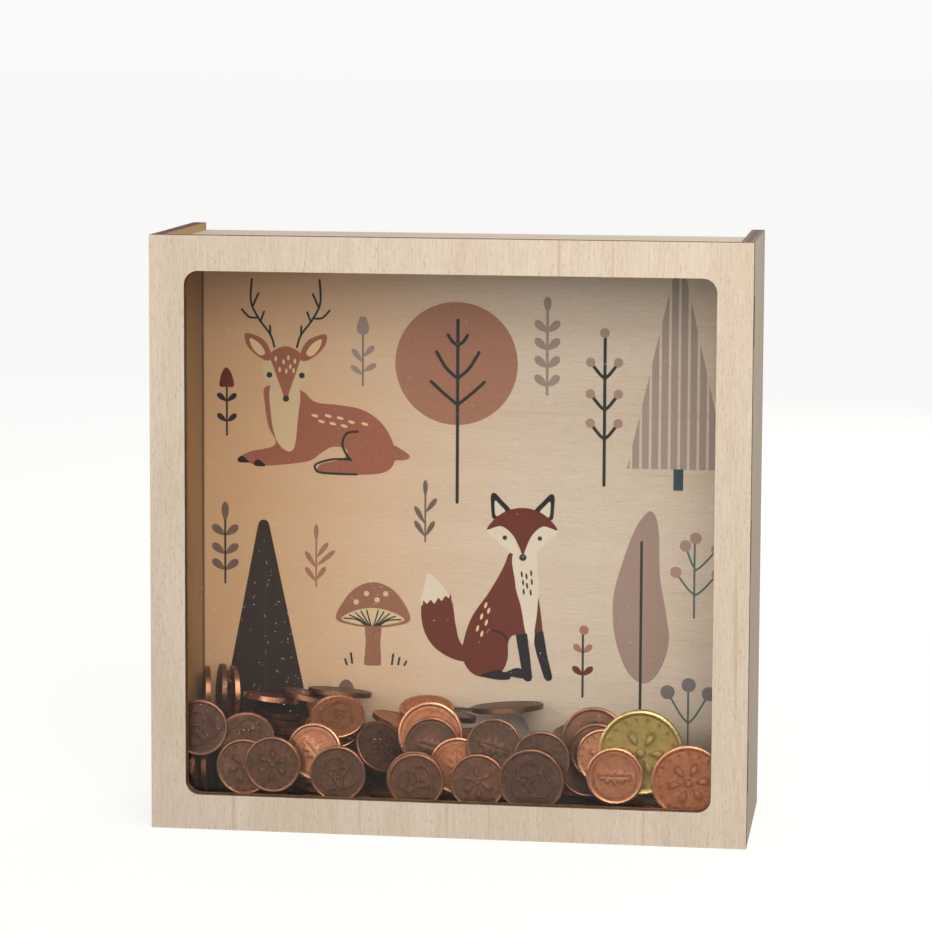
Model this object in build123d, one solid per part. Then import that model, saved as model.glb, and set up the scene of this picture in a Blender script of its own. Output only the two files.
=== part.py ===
"""A free-standing money box of laser-cut birch plywood with a clear window, holding a heap of coins.

Millimetres. +X to the right, +Y to the back, +Z up; Z = 0 is the surface the box stands on.
Every piece is modelled with the front face of the frame at Y = 0 and moved at the end, so that
Y = 0 of the finished part is the middle of its depth.
"""
from build123d import *
import math
import os
import random

# ---- Driving dimensions -------------------------------------------------------------------------
overall_width = 170.0
overall_height = 170.0
carcass_depth = 59.0           # front face of the frame to the back edges of the side panels
ply_thickness = 3.8            # nominal 4 mm birch plywood
panel_set_in = 2.2             # top, bottom and back panels sit this far inside the side panels' edges

frame_bar_width = 10.0
window_corner_radius = 4.0

pane_thickness = 3.0           # clear acrylic
pane_gap = 0.15                # clearance round the pane
tab_length = 14.3              # the pane's tabs, three to a side
tab_end_rise = 8.95            # inner faces of the top and bottom panels to the outer tabs
tab_gap = 0.1                  # clearance at each end of a tab

slot_length = 40.0             # coin slot in the top panel
slot_width = 5.0

hatch_hole_width = 36.0        # emptying hole in the back panel, with round ends
hatch_hole_height = 17.0
hatch_sill = 4.0               # back panel left standing below the hole
hatch_lap = 4.5                # cover beyond the hole at each side
hatch_boss_radius = 8.0
hatch_corner_radius = 3.5
hatch_pivot_rise = 15.0        # pivot above the hole's upper edge
hatch_floor_gap = 0.6          # cover to the bottom panel's back edge, at its lowest
hatch_play = 0.05              # each face of the cover

screw_diameter = 3.0           # pan-head wood screw
screw_length = 8.0             # below the head
screw_head_diameter = 6.0
screw_head_height = 2.0
screw_recess_span = 3.4        # cross recess
screw_recess_width = 0.8
screw_recess_depth = 1.2
screw_running_gap = 0.05       # radial, in the cover and the washers
screw_tip_gap = 0.2            # below the tip, in the blind hole
washer_diameter = 7.0
washer_thickness = 0.5
spacer_diameter = 9.0
spacer_thickness = 0.5

coin_gap = 0.2                 # least distance between coins, and from a coin to the box
coin_wall_gap = 0.6            # coins to the back panel
coin_row_pitch = 2.4           # between rows of coins that stand behind the pane
heap_height_left = 24.0        # of the loose heap, above the floor, at the left side
heap_height_right = 12.0       # and at the right
heap_seed = 5
heap_tries = 8                 # places tried for each loose coin; it takes the lowest
heap_loose_coins = 130
top_coin_tries = 24            # places tried for each coin on top, from front to back
top_coin_stray = 3.0           # and to either side
coin_sizes = {                 # diameter, thickness
    "small": (16.25, 1.67),
    "medium": (18.75, 1.67),
    "large": (21.25, 1.67),
    "gold": (24.25, 2.38),
}

# ---- Places worked out from them ----------------------------------------------------------------
half_width = overall_width / 2
inner_half = half_width - ply_thickness
mid_height = overall_height / 2
pane_front = ply_thickness
pane_back = pane_front + pane_thickness
floor = panel_set_in + ply_thickness
ceiling = overall_height - panel_set_in - ply_thickness
tab_spacing = mid_height - floor - tab_end_rise - tab_length / 2      # centre to centre
back_outer = carcass_depth - panel_set_in
back_inner = back_outer - ply_thickness

hole_low = floor + hatch_sill
hole_high = hole_low + hatch_hole_height
hole_middle = (hole_low + hole_high) / 2
pivot_height = hole_high + hatch_pivot_rise
cover_reach = pivot_height - floor - hatch_floor_gap      # pivot to the cover's round lower edge
cover_half_width = hatch_hole_width / 2 + hatch_lap
cover_front = back_outer + spacer_thickness + hatch_play
cover_back = cover_front + ply_thickness
washer_front = cover_back + hatch_play
head_front = washer_front + washer_thickness
overall_depth = head_front + screw_head_height
screw_tip = head_front - screw_length


# ---- Shapes -------------------------------------------------------------------------------------
def block(x, y, z):
    """A box between pairs of x, y and z."""
    size = [high - low for low, high in (x, y, z)]
    middle = [(high + low) / 2 for low, high in (x, y, z)]
    return Pos(*middle) * Box(*size)


def plate(outline, front, thickness):
    """An upright plate from an outline drawn in X and Z; its front face is at Y = front."""
    face = Plane(origin=(0, front + thickness, 0), x_dir=(1, 0, 0), z_dir=(0, -1, 0))
    return extrude(face * outline, thickness)


def disc(x, z, y_low, y_high, diameter):
    """A round bar along Y."""
    middle = (x, (y_low + y_high) / 2, z)
    return Plane(origin=middle, z_dir=(0, 1, 0)) * Cylinder(diameter / 2, y_high - y_low)


def tab_heights():
    return [mid_height + step * tab_spacing for step in (-1, 0, 1)]


def front_frame():
    outline = Pos(0, mid_height) * Rectangle(overall_width, overall_height)
    window = RectangleRounded(
        overall_width - 2 * frame_bar_width,
        overall_height - 2 * frame_bar_width,
        window_corner_radius,
    )
    return plate(outline - Pos(0, mid_height) * window, 0, ply_thickness)


def window_pane():
    pane = block(
        (-inner_half + pane_gap, inner_half - pane_gap),
        (pane_front, pane_back),
        (floor + pane_gap, ceiling - pane_gap),
    )
    for z in tab_heights():
        reach = (z - tab_length / 2, z + tab_length / 2)
        pane += block((-half_width, half_width), (pane_front, pane_back), reach)
    return pane


def side_panel(side):
    """side is -1 for the left panel and 1 for the right one."""
    width = sorted((side * inner_half, side * half_width))
    panel = block(width, (ply_thickness, carcass_depth), (0, overall_height))
    for z in tab_heights():
        half = tab_length / 2 + tab_gap
        panel -= block(width, (pane_front, pane_back + tab_gap), (z - half, z + half))
    return panel


def level_panel(underside):
    """The top or bottom panel, between the side panels."""
    return block(
        (-inner_half, inner_half),
        (ply_thickness, carcass_depth),
        (underside, underside + ply_thickness),
    )


def top_panel():
    middle = (pane_back + back_inner) / 2
    slot = extrude(SlotOverall(slot_length, slot_width), ply_thickness)
    return level_panel(ceiling) - Pos(0, middle, ceiling) * slot


def back_panel():
    outline = Pos(0, (floor + ceiling) / 2) * Rectangle(2 * inner_half, ceiling - floor)
    hole = Pos(0, hole_middle) * SlotOverall(hatch_hole_width, hatch_hole_height)
    panel = plate(outline - hole, back_inner, ply_thickness)
    return panel - disc(0, pivot_height, screw_tip - screw_tip_gap, back_outer, screw_diameter)


def hatch_cover():
    """Hangs from the screw. Its lower edge is round about the screw, so it clears the bottom panel."""
    shoulder = hatch_pivot_rise
    fan = Polygon(
        (-hatch_boss_radius, 0),
        (-cover_half_width, -shoulder),
        (-cover_half_width, -2 * cover_reach),
        (cover_half_width, -2 * cover_reach),
        (cover_half_width, -shoulder),
        (hatch_boss_radius, 0),
        align=None,
    )
    fan = fan & Circle(cover_reach)
    fan = fillet([v for v in fan.vertices() if v.Y < -shoulder / 2], hatch_corner_radius)
    outline = fan + Circle(hatch_boss_radius)
    outline -= Circle(screw_diameter / 2 + screw_running_gap)
    return plate(Pos(0, pivot_height) * outline, cover_front, ply_thickness)


def ring(diameter, low, thickness):
    """A washer on the screw."""
    bore = screw_diameter + 2 * screw_running_gap
    solid = disc(0, pivot_height, low, low + thickness, diameter)
    return solid - disc(0, pivot_height, low, low + thickness, bore)


def hatch_screw():
    head = disc(0, pivot_height, head_front, overall_depth, screw_head_diameter)
    head = fillet(head.edges().group_by(Axis.Y)[-1], screw_head_height / 2)
    screw = head + disc(0, pivot_height, screw_tip, head_front, screw_diameter)
    deep = (overall_depth - screw_recess_depth, overall_depth)
    span, width = screw_recess_span / 2, screw_recess_width / 2
    for x, z in ((span, width), (width, span)):
        screw -= block((-x, x), deep, (pivot_height - z, pivot_height + z))
    return screw


# ---- Coins --------------------------------------------------------------------------------------
# across: -1 touches the left side panel, 1 the right one. lean: 0 stands facing the window, 90 lies
# flat, face up. turn: 0 faces the window, 90 faces right. up: height of the middle above the floor.
# row: 0 is the row against the pane. deep: 0 touches the pane, 1 the back.
standing_coins = [
    # size, finish, across, row, up, lean, turn
    ("small", "worn", -0.70, 0, 12.0, 0, 0),
    ("small", "worn", -0.44, 0, 9.9, 0, 0),
    ("small", "worn", -0.13, 0, 8.5, 0, 0),
    ("medium", "worn", 0.33, 0, 9.7, 0, 0),
    ("small", "bright", 0.65, 0, 12.1, 0, 0),
    ("large", "bright", 0.97, 0, 10.9, 0, 0),
    ("small", "worn", -1.00, 1, 21.5, 2, 3),
    ("small", "worn", -0.82, 1, 10.5, 2, 0),
    ("small", "bright", -0.54, 1.3, 15.6, 4, -7),
    ("small", "worn", -0.14, 1, 8.6, 1, 3),
    ("small", "worn", 0.11, 1, 8.4, 2, 0),
    ("small", "worn", 0.36, 1, 15.6, 2, 2),
    ("gold", "gold", 0.79, 1.2, 18.4, 2, 0),
    ("small", "worn", 0.17, 2.1, 18.3, 3, -2),
    ("small", "bright", 0.60, 2.9, 15.9, 2, -4),
    ("small", "bright", 0.02, 3.2, 11.8, 3, 4),
    ("small", "worn", 0.57, 4.0, 16.9, 2, -5),
    ("small", "worn", -0.09, 4.2, 16.9, 4, 2),
    ("medium", "worn", 0.56, 5.4, 19.5, 5, -4),
    ("medium", "bright", -0.10, 5.2, 19.6, 5, 3),
]
edge_on_coins = [
    # size, finish, across, deep, up, lean, turn
    ("small", "worn", -1.00, 0.10, 8.4, 0, 90),
    ("small", "worn", -0.97, 0.12, 8.4, 1, 90),
    ("small", "bright", -0.94, 0.10, 8.4, 2, 90),
    ("small", "worn", -0.90, 0.14, 8.4, 3, 88),
    ("small", "worn", -0.56, 0.28, 1.2, 90, 0),
    ("small", "bright", -0.53, 0.30, 3.2, 88, 0),
    ("small", "worn", -0.57, 0.28, 5.2, 91, 0),
    ("gold", "gold", -0.22, 0.50, 1.5, 90, 0),
    ("small", "bright", 0.80, 0.32, 1.2, 90, 0),
    ("small", "worn", 0.78, 0.30, 3.2, 88, 40),
]
leaning_coins = [
    ("small", "worn", -0.30, 0.30, 14.6, 35, 40),
    ("small", "worn", 0.52, 0.36, 9.6, 35, 10),
    ("small", "worn", -0.84, 0.22, 16.8, 40, 15),
    ("small", "bright", -0.50, 0.36, 19.6, 52, 8),
    ("small", "bright", -0.48, 0.30, 22.8, 52, 5),
]
top_coins = [
    # size, finish, across, least deep, lean, turn; each comes down on what lies below it
    ("small", "worn", -1.00, 0.3, 2, -74),
    ("small", "worn", -0.98, 0.5, 4, -72),
    ("small", "bright", -0.93, 0.7, 2, -68),
    ("small", "worn", -0.80, 0.2, 79, 56),
    ("small", "worn", -0.78, 0.2, 79, 56),
    ("small", "bright", -0.82, 0.6, 80, 141),
    ("medium", "worn", -0.66, 0.5, 77, 122),
    ("medium", "worn", -0.54, 0.5, 81, 154),
    ("small", "bright", -0.30, 0.3, 74, 97),
    ("small", "bright", -0.20, 0.7, 74, 8),
    ("small", "worn", -0.08, 0.5, 80, 124),
    ("large", "worn", 0.14, 0.4, 83, -143),
    ("medium", "worn", 0.46, 0.5, 84, -33),
    ("small", "worn", 0.52, 0.5, 84, 20),
]


class Coin:
    """A disc by its size, its middle and the direction its face points in."""

    def __init__(self, size, finish, lean, turn):
        diameter, self.thickness = coin_sizes[size]
        self.node = "gold_coins" if finish == "gold" else f"{size}_coins_{finish}"
        self.radius = diameter / 2
        lean, turn = math.radians(lean), math.radians(turn)
        self.face = (
            math.cos(lean) * math.sin(turn),
            -math.cos(lean) * math.cos(turn),
            math.sin(lean),
        )
        self.middle = (0.0, 0.0, 0.0)

    def reach(self, along):
        """How far the coin stretches from its middle in a direction."""
        tilt = min(1.0, abs(dot(along, self.face)))
        return self.radius * math.sqrt(1 - tilt * tilt) + self.thickness / 2 * tilt

    def put(self, x, y, z):
        """Puts the middle at x, y and z, kept inside the box."""
        wide = inner_half - coin_gap - self.reach((1, 0, 0))
        deep = self.reach((0, 1, 0))
        near, far = pane_back + coin_gap + deep, back_inner - coin_wall_gap - deep
        low = floor + coin_gap + self.reach((0, 0, 1))
        self.middle = (max(-wide, min(wide, x)), max(near, min(far, y)), max(low, z))
        return self

    def solid(self):
        return Plane(origin=self.middle, z_dir=self.face) * Cylinder(self.radius, self.thickness)


def dot(a, b):
    return sum(p * q for p, q in zip(a, b))


def cross(a, b):
    return (a[1] * b[2] - a[2] * b[1], a[2] * b[0] - a[0] * b[2], a[0] * b[1] - a[1] * b[0])


def unit(a):
    length = math.sqrt(dot(a, a))
    return tuple(p / length for p in a) if length > 1e-6 else None


def blend(a, b, share):
    return unit(tuple(p * (1 - share) + q * share for p, q in zip(a, b)))


def clear(a, b):
    """True if a plane with room for the gap fits between two coins."""
    apart = tuple(q - p for p, q in zip(a.middle, b.middle))
    distance = math.sqrt(dot(apart, apart))
    if distance > a.radius + b.radius + a.thickness + coin_gap:
        return True
    straight = unit(apart) or (0, 0, 1)
    towards = [straight]
    for way in (a.face, b.face, cross(a.face, b.face)):
        way = unit(way)
        if way:
            towards.append(way if dot(way, apart) > 0 else tuple(-p for p in way))
    for face in (a.face, b.face):
        flat = unit(tuple(p - dot(straight, face) * q for p, q in zip(straight, face)))
        if flat:
            towards.append(flat)

    def splits(way):
        return way and dot(way, apart) > a.reach(way) + b.reach(way) + coin_gap

    if any(splits(way) for way in towards):
        return True
    pairs = [(p, q) for i, p in enumerate(towards) for q in towards[i + 1:]]
    return any(splits(blend(p, q, share)) for p, q in pairs for share in (0.1, 0.3, 0.5, 0.7, 0.9))


def free(coin, heap):
    return all(clear(coin, other) for other in heap)


def lift(coin, heap, step=0.25):
    """Raises a coin from its place until it is clear of the heap."""
    while not free(coin, heap):
        x, y, z = coin.middle
        coin.put(x, y, z + step)
    return coin


def drop(coin, heap, step=1.0, finest=0.06):
    """Lowers a coin onto the heap."""
    while step > finest:
        x, y, z = coin.middle
        coin.put(x, y, z - step)
        if coin.middle[2] >= z or not free(coin, heap):
            coin.middle = (x, y, z)
            step /= 2
    return coin


def across_to_x(coin, share):
    return share * (inner_half - coin_gap - coin.reach((1, 0, 0)))


def deep_to_y(coin, share):
    half = coin.reach((0, 1, 0))
    near, far = pane_back + coin_gap + half, back_inner - coin_wall_gap - half
    return near + share * (far - near)


def heap_height(x):
    share = (x / inner_half + 1) / 2
    return heap_height_left + share * (heap_height_right - heap_height_left)


def loose_coin(draw):
    size = draw.choices(("small", "medium", "large"), (6, 3, 1))[0]
    finish = draw.choices(("worn", "bright"), (4, 1))[0]
    coin = Coin(size, finish, draw.gauss(90, 7), draw.uniform(0, 360))
    x, y = across_to_x(coin, draw.uniform(-1, 1)), deep_to_y(coin, draw.uniform(0.2, 1))
    return coin.put(x, y, 0)


def top_coin(draw, size, finish, across, front, lean, turn):
    coin = Coin(size, finish, lean, turn)
    x = across_to_x(coin, across) + draw.uniform(-top_coin_stray, top_coin_stray)
    return coin.put(x, deep_to_y(coin, draw.uniform(front, 1)), 0)


def lowest(coins, heap):
    """Drops each coin from above the heap and keeps the one that comes to rest lowest."""
    above = floor + max(heap_height_left, heap_height_right) + coin_sizes["gold"][0]
    for coin in coins:
        x, y, _ = coin.middle
        drop(coin.put(x, y, above), heap)
    return min(coins, key=lambda coin: coin.middle[2])


def heap_of_coins():
    heap = []
    for size, finish, across, row, up, lean, turn in standing_coins:
        coin = Coin(size, finish, lean, turn)
        y = pane_back + coin_gap + coin.thickness / 2 + row * coin_row_pitch
        heap.append(lift(coin.put(across_to_x(coin, across), y, floor + up), heap))
    for size, finish, across, deep, up, lean, turn in edge_on_coins + leaning_coins:
        coin = Coin(size, finish, lean, turn)
        x, y = across_to_x(coin, across), deep_to_y(coin, deep)
        heap.append(lift(coin.put(x, y, floor + up), heap))
    draw = random.Random(heap_seed)
    for _ in range(heap_loose_coins):
        coin = lowest([loose_coin(draw) for _ in range(heap_tries)], heap)
        if coin.middle[2] + coin.reach((0, 0, 1)) < floor + heap_height(coin.middle[0]):
            heap.append(coin)
    for listed in top_coins:
        heap.append(lowest([top_coin(draw, *listed) for _ in range(top_coin_tries)], heap))
    return heap


# ---- Write the parts ----------------------------------------------------------------------------
def write(name, shape):
    export_step(Pos(0, -overall_depth / 2, 0) * shape, os.path.join("parts", f"{name}.step"))


def main():
    os.makedirs("parts", exist_ok=True)
    write("front_frame", front_frame())
    write("window_pane", window_pane())
    write("left_side_panel", side_panel(-1))
    write("right_side_panel", side_panel(1))
    write("top_panel", top_panel())
    write("bottom_panel", level_panel(panel_set_in))
    write("back_panel", back_panel())
    write("hatch_cover", hatch_cover())
    write("hatch_spacer", ring(spacer_diameter, back_outer, spacer_thickness))
    write("hatch_washer", ring(washer_diameter, washer_front, washer_thickness))
    write("hatch_screw", hatch_screw())
    heap = heap_of_coins()
    for node in sorted({coin.node for coin in heap}):
        write(node, Compound(children=[coin.solid() for coin in heap if coin.node == node]))


main()
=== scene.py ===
"""The looks of a laser-cut birch plywood money box: printed woodland back, clear window, heap of coins."""
import math
import random

import bmesh
import bpy
import numpy as np
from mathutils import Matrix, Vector


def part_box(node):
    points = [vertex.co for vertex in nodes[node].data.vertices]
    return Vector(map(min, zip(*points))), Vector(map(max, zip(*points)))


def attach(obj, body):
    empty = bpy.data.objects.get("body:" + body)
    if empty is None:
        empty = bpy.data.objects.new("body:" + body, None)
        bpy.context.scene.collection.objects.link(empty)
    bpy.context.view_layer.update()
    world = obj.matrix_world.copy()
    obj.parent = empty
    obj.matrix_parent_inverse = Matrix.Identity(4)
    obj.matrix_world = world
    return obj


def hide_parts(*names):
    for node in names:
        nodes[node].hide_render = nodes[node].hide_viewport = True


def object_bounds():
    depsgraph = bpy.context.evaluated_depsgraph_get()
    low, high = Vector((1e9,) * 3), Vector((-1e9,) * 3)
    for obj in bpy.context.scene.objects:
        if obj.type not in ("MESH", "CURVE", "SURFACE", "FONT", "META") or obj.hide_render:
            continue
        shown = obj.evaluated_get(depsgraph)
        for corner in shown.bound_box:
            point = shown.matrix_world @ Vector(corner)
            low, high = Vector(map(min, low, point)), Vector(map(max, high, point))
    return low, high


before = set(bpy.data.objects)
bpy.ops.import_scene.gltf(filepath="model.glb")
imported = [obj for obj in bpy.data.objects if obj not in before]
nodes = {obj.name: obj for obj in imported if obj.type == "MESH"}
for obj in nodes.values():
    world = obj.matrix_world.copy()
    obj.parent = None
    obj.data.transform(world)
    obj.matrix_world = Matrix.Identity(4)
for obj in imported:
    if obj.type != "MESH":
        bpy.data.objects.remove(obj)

MM = 0.001
X, Y, Z = 0, 1, 2
cad_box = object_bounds()


# ---- Camera, light and floor --------------------------------------------------------------------
def place_camera():
    """A long lens a metre off, a little to the right and looking slightly down; uprights stay upright."""
    data = bpy.data.cameras.new("camera")
    data.sensor_width = 36.0
    data.lens = 131.4
    data.shift_y = -0.0923
    data.clip_start, data.clip_end = 0.01, 50.0
    camera = bpy.data.objects.new("camera", data)
    camera.location = (0.13324, -0.96646, 0.23202)
    camera.rotation_euler = [math.radians(a) for a in (83.866, -0.278, 7.826)]
    bpy.context.collection.objects.link(camera)
    bpy.context.scene.camera = camera


# The pale ground that the camera sees round the money box.
PAPER = "#fafaf9"


def softbox(name, size, watts, colour, place):
    """A square panel of light, turned to the top of the money box."""
    lamp = bpy.data.lights.new(name, "AREA")
    lamp.size = size
    lamp.energy = watts
    lamp.color = linear(colour)[:3]
    light = bpy.data.objects.new(name, lamp)
    light.location = place
    aim = Vector((0.0, 0.0, cad_box[1][Z])) - light.location
    light.rotation_euler = aim.to_track_quat("-Z", "Y").to_euler()
    bpy.context.collection.objects.link(light)


def light_the_scene():
    """Soft daylight from the left and front, softboxes overhead, behind and in front, a pale room."""
    sun = bpy.data.lights.new("window_light", "SUN")
    sun.energy = 1.05
    sun.angle = math.radians(50)
    sun.color = linear("#fff8ee")[:3]
    light = bpy.data.objects.new("window_light", sun)
    light.rotation_euler = Vector((0.42, 0.86, -0.06)).to_track_quat("-Z", "Y").to_euler()
    bpy.context.collection.objects.link(light)
    softbox("overhead_softbox", 0.35, 1.3, "#ffeeda", (0.2, -0.38, 0.52))
    softbox("rear_softbox", 0.5, 3.0, "#ffeedb", (0.3, 0.85, 0.5))
    softbox("front_softbox", 0.24, 1.4, "#fff4e6", (0.12, -0.6, 0.3))
    world = bpy.data.worlds.new("pale_room")
    world.use_nodes = True
    tree = world.node_tree
    tree.nodes.clear()
    seen = add(tree, "LightPath", {}, out="Is Camera Ray")
    room = add(tree, "Background", {"Color": linear("#f3f4f6"), "Strength": 0.56})
    wall = add(tree, "Background", {"Color": linear(PAPER), "Strength": 1.0})
    shown = add(tree, "MixShader", {0: seen, 1: room, 2: wall})
    add(tree, "OutputWorld", {"Surface": shown})
    bpy.context.scene.world = world
    bpy.context.scene.view_settings.view_transform = "Standard"


def lay_floor():
    """A wide table top: grey to the light that it throws back, and as pale as the wall to look at."""
    reach = 12.0
    corners = [(-reach, -reach, 0), (reach, -reach, 0), (reach, reach, 0), (-reach, reach, 0)]
    mesh = bpy.data.meshes.new("floor")
    mesh.from_pydata(corners, [], [(0, 1, 2, 3)])
    floor = bpy.data.objects.new("floor", mesh)
    bpy.context.collection.objects.link(floor)
    material, tree = blank_material("matt_pale_table")
    place = add(tree, "TexCoord", {}, out="Object")
    cloud = add(tree, "TexNoise", {"Vector": place, "Scale": 6.0, "Detail": 2.0})
    tone = add(tree, "Mix", {0: cloud, 6: linear("#878583"), 7: linear("#8d8b88")}, out=2, data_type="RGBA")
    seen = add(tree, "LightPath", {}, out="Is Camera Ray")
    lift = add(tree, "Math", {0: seen, 1: 0.82}, operation="MULTIPLY")
    finish_surface(tree, {"Base Color": tone, "Roughness": 0.85, "Specular IOR Level": 0.2,
                          "Emission Color": linear(PAPER), "Emission Strength": lift})
    mesh.materials.append(material)


# ---- Materials ----------------------------------------------------------------------------------
def linear(colour):
    """An sRGB hex colour as linear RGBA."""
    parts = [int(colour[i:i + 2], 16) / 255 for i in (1, 3, 5)]
    return [c / 12.92 if c <= 0.04045 else ((c + 0.055) / 1.055) ** 2.4 for c in parts] + [1.0]


def blank_material(name):
    """A new material with an empty node tree."""
    material = bpy.data.materials.new(name)
    material.use_nodes = True
    material.node_tree.nodes.clear()
    return material, material.node_tree


def add(tree, kind, inputs, out=0, **settings):
    """Adds a node with its settings, sets or joins its inputs, and gives one of its outputs."""
    node = tree.nodes.new("ShaderNode" + kind)
    for key, value in settings.items():
        setattr(node, key, value)
    for key, value in inputs.items():
        if isinstance(value, bpy.types.NodeSocket):
            tree.links.new(value, node.inputs[key])
        else:
            node.inputs[key].default_value = value
    return node.outputs[out] if node.outputs else None


def finish_surface(tree, inputs):
    """Ends a material in one shader with these inputs."""
    shader = add(tree, "BsdfPrincipled", inputs)
    add(tree, "OutputMaterial", {"Surface": shader})


def millimetres(tree):
    """Where a point lies on its own piece, in millimetres."""
    place = add(tree, "TexCoord", {}, out="Object")
    return add(tree, "VectorMath", {0: place, 1: (1000.0,) * 3}, operation="MULTIPLY")


def stretched(tree, place, grain, share, **noise):
    """A noise drawn out along the grain: share is how much slower it changes that way."""
    squeeze = [1.0, 1.0, 1.0]
    squeeze[grain] = share
    drawn = add(tree, "VectorMath", {0: place, 1: squeeze}, operation="MULTIPLY")
    return add(tree, "TexNoise", {"Vector": drawn, **noise})


def veneer(tree, place, grain, pale, deep):
    """Rotary-cut birch: faint broad figure, fine fibre, short dark pores and a few brown streaks.

    Real fibre and pores are too fine to show at this distance, so both are drawn a few times as coarse.
    """
    figure = stretched(tree, place, grain, 0.12, Scale=0.08, Detail=2.0, Distortion=0.6)
    fibre = stretched(tree, place, grain, 0.07, Scale=1.7, Detail=4.0, Roughness=0.65)
    pores = stretched(tree, place, grain, 0.16, Scale=3.4, Detail=1.0)
    streaks = stretched(tree, place, grain, 0.02, Scale=0.42, Detail=1.0)
    broad = add(tree, "MapRange", {0: figure, 1: 0.35, 2: 0.68, 3: 0.0, 4: 0.3})
    fine = add(tree, "MapRange", {0: fibre, 1: 0.3, 2: 0.72, 3: 0.0, 4: 0.6})
    depth = add(tree, "Math", {0: broad, 1: fine}, operation="ADD")
    tone = add(tree, "Mix", {0: depth, 6: pale, 7: deep}, out=2, data_type="RGBA")
    fleck = add(tree, "MapRange", {0: pores, 1: 0.6, 2: 0.72, 3: 0.0, 4: 0.3})
    flecked = add(tree, "Mix", {0: fleck, 6: tone, 7: linear("#8a6a4e")}, out=2, data_type="RGBA")
    streak = add(tree, "MapRange", {0: streaks, 1: 0.68, 2: 0.76, 3: 0.0, 4: 0.3})
    streaked = add(tree, "Mix", {0: streak, 6: flecked, 7: linear("#a9814f")}, out=2, data_type="RGBA")
    return streaked, fine


def cut_edge(tree, place, thickness, low, high):
    """The laser-cut edge: three plies between dark glue lines, all browned and sooty from the cut."""
    across = add(tree, "SeparateXYZ", {0: place}, out=thickness)
    share = add(tree, "MapRange", {0: across, 1: low, 2: high, 3: 0.0, 4: 1.0})
    from_middle = add(tree, "Math", {0: share, 1: 0.5}, operation="SUBTRACT")
    distance = add(tree, "Math", {0: from_middle}, operation="ABSOLUTE")
    core = add(tree, "MapRange", {0: distance, 1: 0.15, 2: 0.18, 3: 1.0, 4: 0.0})
    from_glue = add(tree, "Math", {0: distance, 1: 0.17}, operation="SUBTRACT")
    glue_gap = add(tree, "Math", {0: from_glue}, operation="ABSOLUTE")
    glue = add(tree, "MapRange", {0: glue_gap, 1: 0.012, 2: 0.035, 3: 0.8, 4: 0.0})
    soot = add(tree, "TexNoise", {"Vector": place, "Scale": 0.35, "Detail": 5.0, "Roughness": 0.7})
    scorch = add(tree, "MapRange", {0: soot, 1: 0.35, 2: 0.65, 3: 0.0, 4: 1.0})
    outer = add(tree, "Mix", {0: scorch, 6: linear("#8a6a50"), 7: linear("#5b4131")}, out=2, data_type="RGBA")
    inner = add(tree, "Mix", {0: scorch, 6: linear("#5a4030"), 7: linear("#3a2a20")}, out=2, data_type="RGBA")
    plies = add(tree, "Mix", {0: core, 6: outer, 7: inner}, out=2, data_type="RGBA")
    return add(tree, "Mix", {0: glue, 6: plies, 7: linear("#2a1c15")}, out=2, data_type="RGBA")


def birch_plywood(name, node, thickness, grain, pale="#dbd1c4", deep="#c2b4a1", inside=None):
    """Sanded birch plywood, unfinished: pale and matt on its faces, scorched brown on its cut edges."""
    low, high = (corner[thickness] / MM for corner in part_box(node))
    material, tree = blank_material(name)
    place = millimetres(tree)
    face, fibre = veneer(tree, place, grain, linear(pale), linear(deep))
    if inside:
        face = inside(tree, place, face, node)
    edge = cut_edge(tree, place, thickness, low, high)
    facing = add(tree, "TexCoord", {}, out="Normal")
    along = add(tree, "SeparateXYZ", {0: facing}, out=thickness)
    upright = add(tree, "Math", {0: along}, operation="ABSOLUTE")
    on_face = add(tree, "MapRange", {0: upright, 1: 0.5, 2: 0.6, 3: 0.0, 4: 1.0})
    colour = add(tree, "Mix", {0: on_face, 6: edge, 7: face}, out=2, data_type="RGBA")
    roughness = add(tree, "MapRange", {0: fibre, 1: 0.0, 2: 0.45, 3: 0.55, 4: 0.7})
    relief = add(tree, "Bump", {"Height": fibre, "Strength": 0.12, "Distance": 0.0002})
    finish_surface(tree, {"Base Color": colour, "Roughness": roughness, "Normal": relief, "IOR": 1.5,
                          "Specular IOR Level": 0.35})
    return material


# Painted shade: a near-black brown laid on the veneer under and behind the coins, for the deep shade in the
# gaps of the heap.
HEAP_SHADE = "#3f332a"


def on_inner_half(tree, place, node, axis):
    """1 on the half of a panel's thickness that faces into the money box, and 0 on the other."""
    low, high = (corner[axis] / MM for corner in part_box(node))
    centre = [(a + b) / 2 / MM for a, b in zip(*cad_box)][axis]
    middle = (low + high) / 2
    across = add(tree, "SeparateXYZ", {0: place}, out=axis)
    kind = "LESS_THAN" if middle > centre else "GREATER_THAN"
    return add(tree, "Math", {0: across, 1: middle}, operation=kind)


def laid_over(tree, share, inner, face, colour):
    """A second colour over the face, by its share, where the inner half is."""
    cover = add(tree, "Math", {0: share, 1: inner}, operation="MULTIPLY")
    return add(tree, "Mix", {0: cover, 6: face, 7: linear(colour)}, out=2, data_type="RGBA")


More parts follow.
